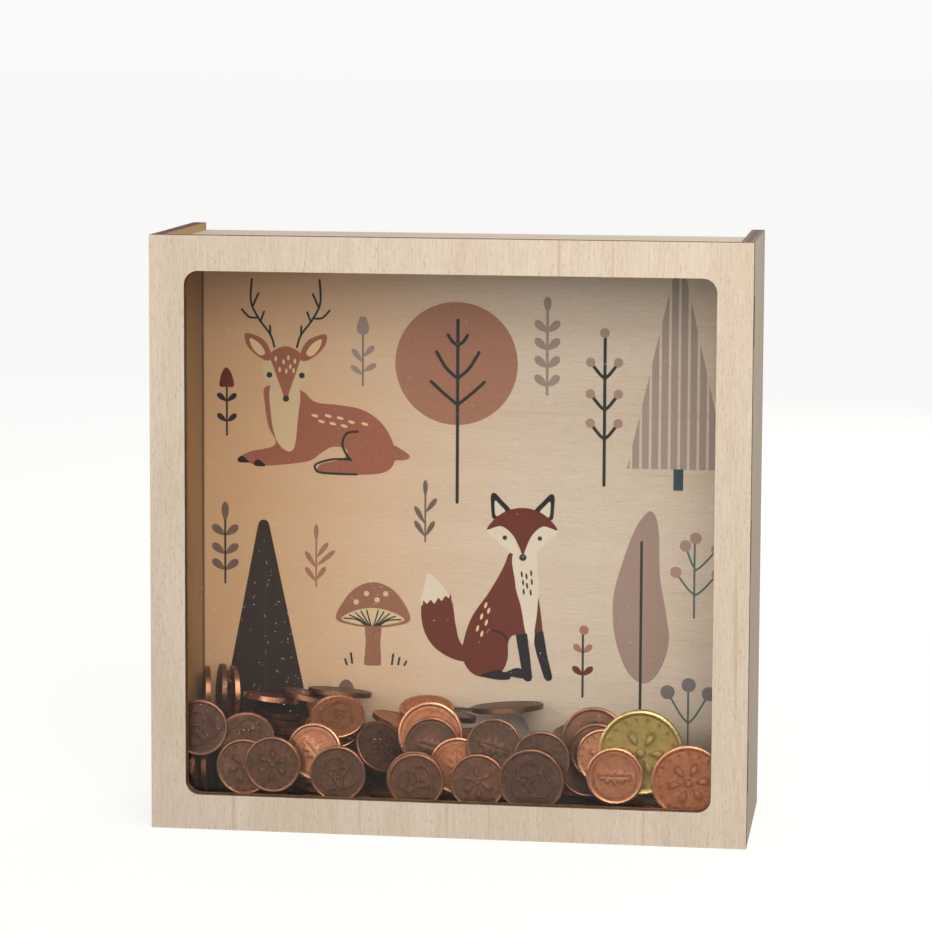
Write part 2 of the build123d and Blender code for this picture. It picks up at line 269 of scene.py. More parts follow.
def panel_inside(tree, place, face, node):
    """The printed side: painted shade over its left part and low down behind the coins, and dark lines along
    its two side edges.
    """
    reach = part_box(node)[1][X] / MM
    inner = on_inner_half(tree, place, node, Y)
    # Painted shade: the left of the printed face gets a warmer, darker brown that fades out towards the
    # middle, for the shade of the left wall and its warm bounce light.
    spot = add(tree, "SeparateXYZ", {0: place}, out=X)
    share = add(tree, "MapRange", {0: spot, 1: -reach, 2: reach * 0.45, 3: 0.85, 4: 0.0},
                interpolation_type="SMOOTHSTEP")
    painted_left_shade = laid_over(tree, share, inner, face, "#cca377")
    # Painted shade: the printed face darkens from 24 mm down to 12 mm and below, behind the coins, for the
    # shade in the heap.
    up = add(tree, "SeparateXYZ", {0: place}, out=Z)
    low = add(tree, "MapRange", {0: up, 1: 12.0, 2: 24.0, 3: 0.85, 4: 0.0})
    rubbed_and_heap_shade = laid_over(tree, low, inner, painted_left_shade, HEAP_SHADE)
    # Darker along the two side edges of the printed face, where it meets the walls.
    side = add(tree, "Math", {0: spot}, operation="ABSOLUTE")
    line = add(tree, "MapRange", {0: side, 1: reach - 0.9, 2: reach - 0.5, 3: 0.0, 4: 0.85})
    return laid_over(tree, line, inner, rubbed_and_heap_shade, "#2e2a20")


def wall_inside_painted_shade(tree, place, face, node):
    """The inner face of a side panel, in painted shade: a dark honey brown for the shade inside the box."""
    return laid_over(tree, 0.85, on_inner_half(tree, place, node, X), face, "#9c7339")


def floor_inside_painted_shade(tree, place, face, node):
    """The inside of the bottom panel, in painted shade: near-black brown for the shade under the heap of
    coins.
    """
    return laid_over(tree, 0.9, on_inner_half(tree, place, node, Z), face, HEAP_SHADE)


THIN_INK, FULL_INK = 0.95, 1.05


def printing_ink(name, colour, cover=THIN_INK):
    """Flat-bed printed ink on bare birch: even and matt, with a little of the grain showing through.

    Full ink covers more than the whole of the wood, so that its thin spots still hide the grain.
    """
    material, tree = blank_material(name)
    place = millimetres(tree)
    wood, fibre = veneer(tree, place, X, linear("#dccaac"), linear("#c2a47e"))
    screen = add(tree, "TexNoise", {"Vector": place, "Scale": 2.2, "Detail": 3.0})
    hold = add(tree, "MapRange", {0: screen, 1: 0.3, 2: 0.7, 3: cover - 0.05, 4: cover + 0.04})
    tone = add(tree, "Mix", {0: hold, 6: wood, 7: linear(colour)}, out=2, data_type="RGBA")
    relief = add(tree, "Bump", {"Height": fibre, "Strength": 0.1, "Distance": 0.0002})
    finish_surface(tree, {"Base Color": tone, "Roughness": 0.65, "Normal": relief,
                          "Specular IOR Level": 0.18})
    return material


def cast_acrylic():
    """Clear cast acrylic: glossy, all but colourless, faintly smeared, and lamplight passes through it."""
    material, tree = blank_material("clear_cast_acrylic")
    place = millimetres(tree)
    smear = add(tree, "TexNoise", {"Vector": place, "Scale": 0.06, "Detail": 4.0, "Roughness": 0.65})
    haze = add(tree, "MapRange", {0: smear, 1: 0.4, 2: 0.7, 3: 0.0, 4: 0.035})
    sheet = add(tree, "BsdfPrincipled", {"Base Color": linear("#fbfcfd"), "Roughness": haze,
                                         "Transmission Weight": 1.0, "IOR": 1.49,
                                         "Specular IOR Level": 0.3})
    passed = add(tree, "BsdfTransparent", {"Color": (0.96, 0.96, 0.96, 1.0)})
    lamp_ray = add(tree, "LightPath", {}, out="Is Shadow Ray")
    surface = add(tree, "MixShader", {0: lamp_ray, 1: sheet, 2: passed})
    add(tree, "OutputMaterial", {"Surface": surface})
    return material


def dust():
    """Pale lint and wood dust that clings to the acrylic."""
    material, tree = blank_material("grey_lint")
    cloud = add(tree, "TexNoise", {"Vector": millimetres(tree), "Scale": 1.3, "Detail": 2.0})
    tone = add(tree, "Mix", {0: cloud, 6: linear("#dcd8d2"), 7: linear("#faf8f4")}, out=2, data_type="RGBA")
    finish_surface(tree, {"Base Color": tone, "Roughness": 0.9, "Sheen Weight": 0.3})
    return material


def struck_metal(name, bright, brown, patina, shine, rough):
    """A struck coin alloy: toned and stained in its field, dirty at the foot of the relief, clean on top."""
    relief_foot = 0.28
    material, tree = blank_material(name)
    height = add(tree, "Attribute", {}, out="Fac", attribute_name="relief")
    tone = add(tree, "Attribute", {}, out="Fac", attribute_name="tone")
    own = add(tree, "Attribute", {}, out="Vector", attribute_name="own_place")
    stain = add(tree, "TexNoise", {"Vector": own, "Scale": 0.3, "Detail": 6.0, "Roughness": 0.7})
    grime = add(tree, "TexNoise", {"Vector": own, "Scale": 1.2, "Detail": 5.0, "Roughness": 0.7})
    rubbed_and_heap_shade = add(tree, "MapRange", {0: height, 1: 0.3, 2: 1.0, 3: 0.0, 4: shine})
    spread = add(tree, "MapRange", {0: stain, 1: 0.32, 2: 0.68, 3: 0.3, 4: -0.25})
    worn = add(tree, "Math", {0: rubbed_and_heap_shade, 1: spread}, operation="ADD")
    clean = add(tree, "Math", {0: worn, 1: tone}, operation="ADD", use_clamp=True)
    blotch = add(tree, "MapRange", {0: grime, 1: 0.35, 2: 0.65, 3: 0.0, 4: 1.0})
    toned = add(tree, "Mix", {0: blotch, 6: linear(brown), 7: linear(patina)}, out=2, data_type="RGBA")
    rubbed_through = add(tree, "Mix", {0: clean, 6: toned, 7: linear(bright)}, out=2, data_type="RGBA")
    from_foot = add(tree, "Math", {0: height, 1: relief_foot}, operation="SUBTRACT")
    off_foot = add(tree, "Math", {0: from_foot}, operation="ABSOLUTE")
    dirt = add(tree, "MapRange", {0: off_foot, 1: 0.0, 2: 0.24, 3: 0.5, 4: 0.0})
    colour = add(tree, "Mix", {0: dirt, 6: rubbed_through, 7: linear("#1f1510")}, out=2, data_type="RGBA")
    metal = add(tree, "MapRange", {0: clean, 1: 0.0, 2: 0.6, 3: 0.75, 4: 1.0})
    dull = add(tree, "MapRange", {0: grime, 1: 0.35, 2: 0.65, 3: rough - 0.08, 4: rough + 0.08})
    gloss = add(tree, "MapRange", {0: clean, 1: 0.0, 2: 1.0, 3: 0.0, 4: 0.12})
    roughness = add(tree, "Math", {0: dull, 1: gloss}, operation="SUBTRACT")
    pits = add(tree, "Bump", {"Height": grime, "Strength": 0.12, "Distance": 0.0001})
    finish_surface(tree, {"Base Color": colour, "Metallic": metal, "Roughness": roughness, "Normal": pits})
    return material


def zinc_plate():
    """Bright zinc on steel: bluish white, lightly clouded."""
    material, tree = blank_material("bright_zinc_plate")
    cloud = add(tree, "TexNoise", {"Vector": millimetres(tree), "Scale": 0.9, "Detail": 4.0})
    tone = add(tree, "Mix", {0: cloud, 6: linear("#a9aaad"), 7: linear("#cfd0d2")}, out=2, data_type="RGBA")
    rough = add(tree, "MapRange", {0: cloud, 1: 0.3, 2: 0.7, 3: 0.28, 4: 0.42})
    finish_surface(tree, {"Base Color": tone, "Metallic": 1.0, "Roughness": rough})
    return material


def nylon():
    """Moulded natural nylon: milky, with a soft sheen."""
    material, tree = blank_material("natural_nylon")
    cloud = add(tree, "TexNoise", {"Vector": millimetres(tree), "Scale": 0.7, "Detail": 2.0})
    tone = add(tree, "Mix", {0: cloud, 6: linear("#dcd8cc"), 7: linear("#ece9df")}, out=2, data_type="RGBA")
    finish_surface(tree, {"Base Color": tone, "Roughness": 0.42, "IOR": 1.53, "Subsurface Weight": 0.15,
                          "Subsurface Scale": 0.001})
    return material


def dress(node, material):
    """Gives a CAD piece its finish."""
    slots = nodes[node].material_slots
    for slot in slots:
        slot.material = material
    if not slots:
        nodes[node].data.materials.append(material)


# ---- Pieces -------------------------------------------------------------------------------------
def piece_from(name, points, faces, materials, body="carcass", numbers=None, smooth=False):
    """A mesh that rides on a body; numbers give each face its place in the list of materials."""
    mesh = bpy.data.meshes.new(name)
    mesh.from_pydata(points, [], faces)
    for material in materials:
        mesh.materials.append(material)
    if numbers is not None:
        mesh.polygons.foreach_set("material_index", numbers)
    mesh.polygons.foreach_set("use_smooth", [smooth] * len(mesh.polygons))
    mesh.update()
    piece = bpy.data.objects.new(name, mesh)
    bpy.context.collection.objects.link(piece)
    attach(piece, body)
    return piece


# ---- Coins --------------------------------------------------------------------------------------
# Rings and rim are shares of a coin's radius, relief and rounding are shares of its thickness.
COIN_SEGMENTS = 72
RIM_FOOT, RIM_TOP = 0.9, 0.925
RELIEF, EDGE_ROUNDING = 0.09, 0.08
EDGE_WEAR = 0.85
RIM_RINGS = [RIM_FOOT, RIM_TOP, 0.97, 1.0]
SHOWN_RINGS = [0.0, 0.08, 0.15, 0.22, 0.29, 0.36, 0.43, 0.5, 0.57, 0.63, 0.69, 0.75, 0.81, 0.86] + RIM_RINGS
HIDDEN_RINGS = [0.0, 0.3, 0.6, 0.8] + RIM_RINGS
# The finely struck face of a coin looks this way: to the window, and upwards if the coin lies flat.
WINDOW_SIDE = np.array((0.0, -1.0, 0.35))
DESIGN_HEIGHT = 0.8


def coins_in(node):
    """Centre, axis, radius and thickness of each coin in a CAD piece, in millimetres.

    Points that share a place or an edge belong to one coin, and its axis is the way that it is thinnest.
    """
    mesh = nodes[node].data
    places = np.empty(len(mesh.vertices) * 3)
    mesh.vertices.foreach_get("co", places)
    places = places.reshape(-1, 3) / MM
    _, same = np.unique(np.round(places, 3), axis=0, return_inverse=True)
    same = same.ravel()
    parent = list(range(same.max() + 1))

    def root(i):
        while parent[i] != i:
            parent[i] = parent[parent[i]]
            i = parent[i]
        return i

    for edge in mesh.edges:
        a, b = (root(same[v]) for v in edge.vertices)
        parent[max(a, b)] = min(a, b)
    groups = {}
    for vertex, shared in enumerate(same):
        groups.setdefault(root(shared), {})[shared] = places[vertex]
    found = []
    for group in groups.values():
        points = np.array(list(group.values()))
        centre = (points.max(axis=0) + points.min(axis=0)) / 2
        _, directions = np.linalg.eigh(np.cov((points - centre).T))
        axis = directions[:, 0]
        along = (points - centre) @ axis
        around = np.linalg.norm((points - centre) - np.outer(along, axis), axis=1)
        found.append((centre, axis, around.max(), along.max() - along.min()))
    return sorted(found, key=lambda coin: tuple(np.round(coin[0], 2)))


def rosette(share, angle):
    """A six-petalled flower inside a ring of eighteen studs."""
    petals = np.cos(3 * angle) ** 4 * np.exp(-((share - 0.38) / 0.17) ** 2)
    heart = np.exp(-(share / 0.09) ** 2)
    studs = np.clip(np.cos(18 * angle), 0, 1) * np.exp(-((share - 0.79) / 0.04) ** 2)
    return np.maximum.reduce([0.8 * petals, heart, 0.7 * studs])


def oak_leaf(share, angle):
    """A lobed leaf with a midrib, standing across the coin, in a thin ring."""
    x, y = share * np.cos(angle), share * np.sin(angle)
    half = 0.27 * np.sqrt(np.clip(1 - (y / 0.6) ** 2, 0, 1)) * (1 + 0.25 * np.cos(24 * y))
    blade = np.clip((half - np.abs(x)) / 0.08, 0, 1)
    rib = 1 - 0.5 * np.exp(-(x / 0.04) ** 2)
    return np.maximum(0.8 * blade * rib, 0.5 * np.exp(-((share - 0.78) / 0.03) ** 2))


def linked_rings(share, angle):
    """Three rings that pass through one another."""
    x, y = share * np.cos(angle), share * np.sin(angle)
    rings = []
    for k in range(3):
        a = 2 * math.pi * k / 3
        far = np.hypot(x - 0.27 * math.cos(a), y - 0.27 * math.sin(a))
        rings.append(np.exp(-((far - 0.36) / 0.045) ** 2))
    return 0.8 * np.maximum.reduce(rings)


def coin_face(radius, thickness, pattern, rings):
    """One face of a coin as rings of points, and how high each stands between field and rim."""
    angles = np.arange(COIN_SEGMENTS) * 2 * math.pi / COIN_SEGMENTS
    share, angle = np.meshgrid(rings, angles, indexing="ij")
    rise = DESIGN_HEIGHT * pattern(share, angle) * np.clip((RIM_FOOT - share) / 0.05, 0, 1)
    rim = np.clip((share - RIM_FOOT) / (RIM_TOP - RIM_FOOT), 0, 1)
    height = np.maximum(rise, rim)
    level = thickness / 2 - RELIEF * thickness * (1 - height)
    level[-1] = thickness / 2 - EDGE_ROUNDING * thickness
    height[-1] = EDGE_WEAR
    reach = radius * share
    return np.stack([reach * np.cos(angle), reach * np.sin(angle), level], axis=-1), height


def struck_coin(centre, axis, radius, thickness, spin, pattern):
    """Points and relief of one coin: a finely struck face to the window, a coarser one behind."""
    shown, shown_height = coin_face(radius, thickness, pattern, SHOWN_RINGS)
    hidden, hidden_height = coin_face(radius, thickness, rosette, HIDDEN_RINGS)
    hidden = hidden * (1, 1, -1)
    local = np.concatenate([shown.reshape(-1, 3), hidden.reshape(-1, 3)])
    height = np.concatenate([shown_height.ravel(), hidden_height.ravel()])
    axis = Vector(axis)
    across = axis.orthogonal().normalized()
    upright = axis.cross(across)
    first = np.array(across) * math.cos(spin) + np.array(upright) * math.sin(spin)
    second = np.cross(np.array(axis), first)
    world = centre + local @ np.array([first, second, np.array(axis)])
    return world, local, height


def coin_faces():
    """Faces of one coin: both sides with a fan at the middle, and the plain edge between."""
    count = COIN_SEGMENTS
    half = len(SHOWN_RINGS) * count
    faces = []
    for side, rings, flip in ((0, SHOWN_RINGS, False), (half, HIDDEN_RINGS, True)):
        for ring in range(len(rings) - 1):
            for k in range(count):
                a, b = side + ring * count + k, side + ring * count + (k + 1) % count
                quad = [a, a + count, b + count, b]
                if ring == 0:
                    quad = [side, a + count, b + count]
                faces.append(quad[::-1] if flip else quad)
    shown_edge = half - count
    hidden_edge = half + (len(HIDDEN_RINGS) - 1) * count
    for k in range(count):
        following = (k + 1) % count
        faces.append([shown_edge + k, hidden_edge + k, hidden_edge + following, shown_edge + following])
    return faces


def strike_coins(node, material, rng, tone_spread):
    """Replaces the plain discs of a CAD piece with struck coins in the same places.

    Each point carries its relief, its coin's own tone and a place of its own in the stains.
    """
    pattern = coin_faces()
    count = (len(SHOWN_RINGS) + len(HIDDEN_RINGS)) * COIN_SEGMENTS
    points, own, relief, tones, faces = [], [], [], [], []
    for number, (centre, axis, radius, thickness) in enumerate(coins_in(node)):
        if axis @ WINDOW_SIDE < 0:
            axis = -axis
        design = rng.choice((rosette, oak_leaf, linked_rings))
        spin = rng.uniform(0, 2 * math.pi)
        world, local, height = struck_coin(centre, axis, radius, thickness, spin, design)
        points.append(world)
        own.append(local + np.array([rng.uniform(-500, 500) for _ in range(3)]))
        relief.append(height)
        tones.append(np.full(count, rng.uniform(*tone_spread)))
        faces += [[number * count + v for v in face] for face in pattern]
    places = np.concatenate(points) * MM
    coins = piece_from("struck_" + node, places.tolist(), faces, [material], smooth=True)
    for name, kind, values in (("relief", "FLOAT", relief), ("tone", "FLOAT", tones)):
        coins.data.attributes.new(name, kind, "POINT").data.foreach_set("value", np.concatenate(values))
    place = coins.data.attributes.new("own_place", "FLOAT_VECTOR", "POINT")
    place.data.foreach_set("vector", np.concatenate(own).ravel())
    drop_loose_points(coins)
    coins.data.set_sharp_from_angle(angle=math.radians(38))
    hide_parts(node)


def drop_loose_points(piece):
    """Takes away the unused points at the middle of each coin face."""
    work = bmesh.new()
    work.from_mesh(piece.data)
    bmesh.ops.delete(work, geom=[v for v in work.verts if not v.link_faces], context="VERTS")
    work.to_mesh(piece.data)
    work.free()


# ---- The print on the back panel ----------------------------------------------------------------
# Outlines are in millimetres, X to the right and Z up, as the money box stands.
panel_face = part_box("back_panel")[0][Y]
INK_STEP = 0.04 * MM
INKS = {}


def oval(x, z, across, up, tilt=0.0, count=40):
    """An ellipse by its half sizes, tilted by degrees."""
    lean = math.radians(tilt)
    ring = []
    for k in range(count):
        a = 2 * math.pi * k / count
        u, w = across * math.cos(a), up * math.sin(a)
        ring.append((x + u * math.cos(lean) - w * math.sin(lean),
                     z + u * math.sin(lean) + w * math.cos(lean)))
    return ring


def smooth_span(a, b, c, d, steps):
    """Points from b to just before c on a smooth curve that also passes through a and d."""
    span = []
    for s in range(steps):
        t = s / steps
        span.append(0.5 * (2 * b + (c - a) * t + (2 * a - 5 * b + 4 * c - d) * t * t
                           + (3 * b - a - 3 * c + d) * t * t * t))
    return span


def rounded(points, steps=8):
    """A smooth closed curve through a few points."""
    ring = []
    n = len(points)
    for k in range(n):
        corners = [Vector(points[(k + i) % n]) for i in (-1, 0, 1, 2)]
        ring += [(p.x, p.y) for p in smooth_span(*corners, steps)]
    return ring


def curve_through(points, steps=8):
    """A smooth open curve through a few points."""
    if len(points) == 2:
        return [Vector(p) for p in points]
    padded = [points[0]] + list(points) + [points[-1]]
    line = []
    for k in range(len(points) - 1):
        corners = [Vector(padded[k + i]) for i in range(4)]
        line += smooth_span(*corners, steps)
    return line + [Vector(points[-1])]


def stroke(points, width):
    """A line of even width with round ends."""
    line = curve_through(points)
    half = width / 2
    left, right = [], []
    for k, p in enumerate(line):
        before, after = line[max(k - 1, 0)], line[min(k + 1, len(line) - 1)]
        along = (after - before).normalized()
        side = Vector((-along.y, along.x)) * half
        left.append(p + side)
        right.append(p - side)
    ends = []
    round_end = [math.pi * k / 6 for k in range(1, 6)]
    for p, q in ((line[-1], line[-2]), (line[0], line[1])):
        along = (p - q).normalized() * half
        side = Vector((-along.y, along.x))
        ends.append([p + side * math.cos(a) + along * math.sin(a) for a in round_end])
    ring = left + ends[0] + right[::-1] + ends[1]
    return [(p.x, p.y) for p in ring]


def leaf(root, tip, width):
    """A leaf from its root to its tip, fullest past the middle."""
    root, tip = Vector(root), Vector(tip)
    along = tip - root
    side = Vector((-along.y, along.x)).normalized() * width / 2
    shape = ((0.0, 0.1), (0.3, 0.75), (0.6, 1.0), (0.85, 0.8), (1.0, 0.0))
    one = [root + along * s + side * w for s, w in shape]
    other = [root + along * s - side * w for s, w in shape[-2::-1]]
    return rounded([(p.x, p.y) for p in one + other], 5)


def print_figure(name, shapes):
    """One printed figure: each shape is an ink, an outline in millimetres and its layer from the wood.

    A later shape lies a hair over an earlier one of its layer, so that no two share a plane.
    """
    points, faces, numbers = [], [], []
    inks = []
    for number, (ink, outline, layer) in enumerate(shapes):
        depth = (layer + 0.06 * number) * INK_STEP
        if ink not in inks:
            inks.append(ink)
        if area(outline) < 0:
            outline = outline[::-1]
        start, n = len(points), len(outline)
        points += [(x * MM, panel_face + 0.2 * INK_STEP, z * MM) for x, z in outline]
        points += [(x * MM, panel_face - depth, z * MM) for x, z in outline]
        faces.append([start + k for k in range(n)][::-1])
        faces.append([start + n + k for k in range(n)])
        faces += [[start + k, start + (k + 1) % n, start + n + (k + 1) % n, start + n + k] for k in range(n)]
        numbers += [inks.index(ink)] * (n + 2)
    figure = piece_from("print_" + name, points, faces, [INKS[ink] for ink in inks], numbers=numbers)
    return figure


def area(outline):
    """Above zero if the outline runs anticlockwise."""
    return sum(a[0] * b[1] - b[0] * a[1] for a, b in zip(outline, outline[1:] + outline[:1])) / 2


def sprig(stem_x, top, foot, leaves, ink, stem_ink, leaf_width, stem_width=0.6, crown=None):
    """A stem with leaves: each leaf is a height on the stem and how far it reaches out and up."""
    shapes = [(stem_ink, stroke([(stem_x, foot), (stem_x, top)], stem_width), 2)]
    for height, out, up in leaves:
        tip = (stem_x + out, height + up)
        shapes.append((ink, leaf((stem_x + math.copysign(0.2, out), height), tip, leaf_width), 1))
    if crown:
        shapes.append((ink, leaf((stem_x, top - 0.4), (stem_x, top + crown), leaf_width * 0.95), 1))
    return shapes


def both(height, out, up):
    """A pair of leaves that mirror each other."""
    return [(height, -out, up), (height, out, up)]


def berries(stem_x, top, foot, ends, radius, ink, stem_ink, drop=4.6, width=0.8):
    """A stem whose side twigs each end in a berry."""
    shapes = [(stem_ink, stroke([(stem_x, foot), (stem_x, top)], width), 2)]
    for x, z in ends:
        bend = (stem_x + (x - stem_x) * 0.35, z - drop * 0.75)
        shapes.append((stem_ink, stroke([(x, z), bend, (stem_x, z - drop)], width), 1))
        shapes.append((ink, oval(x, z, radius, radius), 3))
    return shapes


def beside(middle, side):
    """Places on one side of an upright middle line, by how far out they are and how high."""
    return lambda out, z: (middle + side * out, z)


def deer():
    """A plain lying deer that looks out, with branching antlers."""
    body = rounded([(-51.5, 121), (-47, 117.6), (-40, 116.8), (-33, 115.6), (-27.5, 112.2), (-24, 107),
                    (-22.8, 101.5), (-25, 97.6), (-31, 96.2), (-45, 96.3), (-45.2, 99), (-38.5, 100.8),
                    (-37.5, 103.6), (-41.5, 104.3), (-45.2, 102.3), (-48.8, 99.9), (-57, 98.6), (-63.5, 98.2),
                    (-67.5, 99.2), (-69.6, 100.6), (-66.4, 102.4), (-59, 104.6), (-61, 110), (-62, 116),
                    (-61.6, 122)])
    bib = rounded([(-60.4, 122), (-60.2, 113), (-58.6, 106), (-55.6, 102.8), (-53.2, 104), (-52.2, 112),
                   (-51.6, 121), (-55.8, 124)])
    face = rounded([(-62.6, 129.2), (-62, 124.6), (-58, 119.8), (-55.7, 117.8), (-53.4, 119.8),
                    (-49.4, 124.8), (-48.9, 129.4), (-55.8, 133)])
    blaze = rounded([(-60.4, 131.6), (-56, 134), (-51.4, 131.8), (-52.4, 127), (-54.4, 121.4),
                     (-55.7, 118), (-57.2, 121.4), (-59.2, 127)])
    tail = rounded([(-23.6, 105), (-20.8, 103.8), (-18.5, 102.1), (-19.4, 101), (-21.8, 100.7), (-24.4, 101)])
    shapes = [("deer_brown", body, 1), ("cream", bib, 2), ("cream", face, 2), ("deer_brown", blaze, 3),
              ("mushroom_brown", tail, 0.5)]
    for side in (-1, 1):
        at = beside(-55.8, side)
        shapes += [
            ("deer_brown", rounded([at(4.2, 131.2), at(6.2, 135.4), at(9.6, 137.3), at(12.3, 137.5),
                                    at(11.6, 134), at(8.4, 130.9), at(5.4, 129.6)]), 2),
            ("print_wood", rounded([at(6.2, 132.1), at(8.2, 135), at(10.8, 136.2), at(10, 133.4),
                                    at(7.8, 131.2)]), 3),
            ("charcoal", stroke([at(3.4, 133.8), at(4.6, 137.4), at(8, 142), at(10.4, 147), at(10.2, 153.8)],
                                0.62), 3),
            ("charcoal", stroke([at(4.6, 137.2), at(4.7, 140)], 0.6), 3),
            ("charcoal", stroke([at(7.6, 141.2), at(6.5, 144.2)], 0.6), 3),
            ("charcoal", stroke([at(8.4, 142.4), at(11, 142.6), at(13.2, 144.8)], 0.6), 3),
            ("charcoal", stroke([at(9.8, 146), at(8.2, 149.6)], 0.6), 3),
            ("charcoal", oval(*at(4.9, 125.4), 0.85, 0.85), 4),
        ]
    shapes.append(("charcoal", oval(-55.7, 118.4, 0.95, 0.9), 4))
    for x, z in ((-58.8, 130.2), (-56.4, 129.4), (-55, 130.6), (-53, 129.6), (-57.6, 127), (-55.6, 126.6),
                 (-54.4, 128), (-53.4, 126.8)):
        shapes.append(("print_wood", oval(x, z, 0.34, 0.75), 4))
    for x, z in ((-47, 113.5), (-43, 113.5), (-39.4, 112.9), (-45, 111.8), (-41.6, 111.2),
                 (-38.2, 110.6), (-36, 111.8), (-32, 111.3)):
        shapes.append(("print_wood", oval(x, z, 1.05, 0.42, -14), 2))
    haunch = [(-34.2, 109), (-37.4, 108.4), (-38.7, 105.4), (-37.8, 102.6), (-36.2, 100.4)]
    lower = [(-36.6, 100.7), (-42, 100.5), (-46.6, 99), (-46.6, 97.2), (-44, 96.4), (-34.4, 96.2)]
    shapes += [("charcoal", stroke(haunch, 0.66), 3), ("charcoal", stroke(lower, 0.66), 3)]
    for x, z in ((-68.8, 99.9), (-63.8, 98.9)):
        hoof = rounded([(x - 1.6, z + 0.1), (x - 0.4, z + 1.1), (x + 1, z + 0.2), (x + 1.9, z - 0.8),
                        (x - 1, z - 0.8)])
        shapes.append(("black_ink", hoof, 3))
    print_figure("deer", shapes)


def fox():
    """A plain sitting fox with a white-tipped tail."""
    body = rounded([(11.4, 73.8), (9.6, 69.6), (5.4, 62), (0.6, 55), (-1.8, 48.6), (-2.6, 42.4), (0, 37.8),
                    (4, 36.4), (9, 38), (11, 42), (11.2, 47), (12.9, 49.3), (16.9, 49.2), (15.2, 57),
                    (13.2, 64), (13.4, 72)])
    chest = rounded([(12.6, 73.6), (13, 66), (15, 57.4), (16.4, 50), (18.4, 47), (19.6, 50.4), (20.2, 60),
                     (19.8, 68), (19, 74)])
    flank = [(20.1, 61), (20.9, 55.5), (21.5, 50.2), (18.9, 50.2), (19.6, 55)]
    tail = rounded([(-14.6, 58.4), (-14.4, 51), (-11.4, 45.4), (-6.4, 42), (-1.4, 41), (1, 43.6), (-3, 46.4),
                    (-4.6, 52), (-6, 59.6), (-10, 60.4)])
    tip = rounded([(-14.7, 57.4), (-14, 63), (-12.8, 67), (-9.4, 64.4), (-6.9, 60.9), (-6.3, 58.6)], 5)
    cheeks = rounded([(4.6, 80.6), (7.8, 77.4), (12, 73.8), (15.4, 72), (18.8, 73.9), (22.8, 77.6),
                      (25.6, 80.8), (21, 83.4), (15.4, 84), (9, 83.4)])
    crown = rounded([(4.6, 80.7), (7.4, 84.4), (11, 86.6), (15, 87.4), (19, 86.8), (22.6, 84.8),
                     (25.6, 81), (21.4, 82), (18.2, 79.4), (16.3, 75.4), (15.4, 73), (14.4, 75.4),
                     (12.2, 79.4), (8.8, 81.8)])
    shapes = [("fox_rust", tail, 1), ("white_ink", tip, 2), ("fox_rust", body, 2), ("white_ink", chest, 3),
              ("fox_rust", flank, 4), ("white_ink", cheeks, 4), ("fox_rust", crown, 5)]
    notches = [(-14.6, 56.8), (-14.3, 59), (-13.2, 57.9), (-12.1, 59.3), (-11, 58), (-9.8, 59.9),
               (-8.8, 58.9), (-7.6, 60.6), (-6.7, 59.8), (-6, 61.2), (-5.7, 56.8)]
    shapes.append(("fox_rust", notches, 3))
    for side in (-1, 1):
        at = beside(15.2, side)
        shapes += [
            ("black_ink", rounded([at(8.8, 84), at(9.4, 88), at(9.4, 91), at(8.2, 91.6), at(6, 89.4),
                                   at(3.6, 86.6), at(6, 85.4)]), 2),
            ("white_ink", rounded([at(7.8, 84.8), at(8.3, 87.6), at(8.1, 89.4), at(6.8, 88.2),
                                   at(5.2, 86.2)]), 3),
            ("charcoal", oval(*at(5.2, 78.4), 0.68, 0.68), 6),
        ]
    shapes.append(("charcoal", oval(15.4, 72.6, 1.1, 1.0), 6))
    near_leg = [(13.4, 49.3), (16.8, 49.9), (17.5, 44.5), (18.4, 36.6), (17.9, 35.6), (16.6, 35.5),
                (15.8, 36.2), (14.9, 40.8)]
    far_leg = [(19.1, 50.1), (21.6, 50.7), (22.7, 44), (24.4, 37), (24, 36), (22.9, 35.8), (22, 36.6),
               (19.6, 44), (18.9, 47.2)]
    foot = rounded([(3, 36.9), (8, 38.7), (10.2, 38.1), (13.4, 39.4), (15.6, 38.9), (15.8, 36.4),
                    (12.3, 36.8), (11.4, 35.9), (7.6, 35.8)], 5)
    shapes += [("black_ink", leg, 4) for leg in (near_leg, far_leg, foot)]
    haunch = [(6.6, 50.5), (9.2, 49.8), (10.9, 47.8)]
    shapes.append(("black_ink", stroke(haunch, 0.6), 4))
    for x, z in ((4.4, 58), (5.3, 56.4), (3.2, 54.6), (4.6, 52.8), (2, 51), (3.3, 49.4)):
        shapes.append(("print_wood", oval(x, z, 0.4, 0.95, -16), 3))
    for x, z in ((15.1, 67.6), (17.9, 68), (16.5, 67), (15.5, 65.2), (18.1, 65.4), (16.7, 64.2), (15.7, 62.4),
                 (17.8, 62.2)):
        shapes.append(("charcoal", oval(x, z, 0.3, 0.95, 6), 4))
    print_figure("fox", shapes)


def round_tree():
    """A tree with a round crown; the lower a pair of twigs, the less it sags and the straighter it is."""
    stem, width = -4.3, 0.95
    shapes = [("terracotta", oval(-4.7, 129.8, 18.2, 18.2, count=96), 1),
              ("charcoal", stroke([(stem, 88.6), (stem, 142.6)], width), 2)]
    for foot, out, up, sag in ((135.2, 2.9, 3, 0.36), (125.4, 6.3, 7.8, 0.4), (117.6, 7.9, 6.8, 0.52)):
        for side in (-1, 1):
            bend = (stem + side * out * 0.55, foot + up * sag)
            tip = (stem + side * out, foot + up)
            shapes.append(("charcoal", stroke([(stem, foot), bend, tip], width), 3))
    print_figure("round_tree", shapes)


